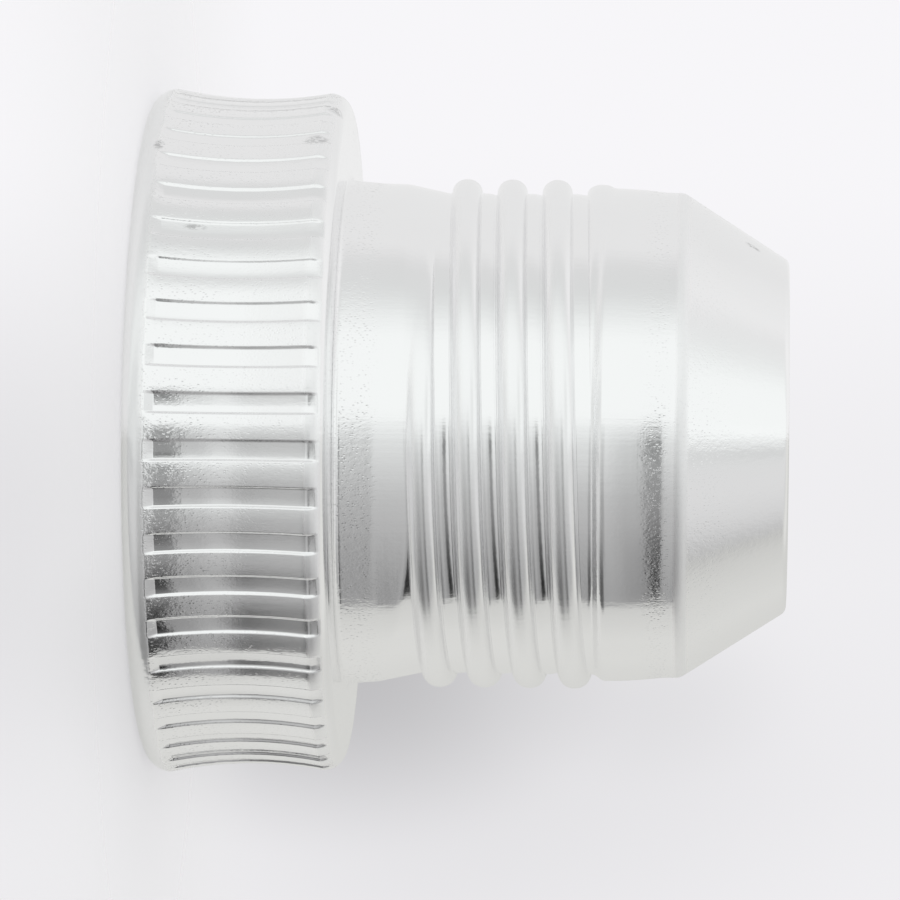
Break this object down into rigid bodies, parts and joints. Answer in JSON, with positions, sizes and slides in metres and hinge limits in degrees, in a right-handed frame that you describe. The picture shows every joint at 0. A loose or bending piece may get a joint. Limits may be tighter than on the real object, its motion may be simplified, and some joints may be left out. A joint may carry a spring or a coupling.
{
  "type": "knurled head plug",
  "caption": "Thin aluminium protective plug with a knurled hollow head, a rolled right-hand thread and a closed conical nose.",
  "frame": {"origin": "centre of the rim's plane at the open end, which the plug stands on", "axes": "+Z along the plug's axis, from the open end to the closed nose; +X at the thread's lower end"},
  "size_m": [0.0242, 0.0242, 0.0224],
  "materials": {
    "shell": "bright drawn sheet with fine scuffs"
  },
  "bodies": {
    "root": {"plug_shell": "shell"}
  },
  "joints": []
}
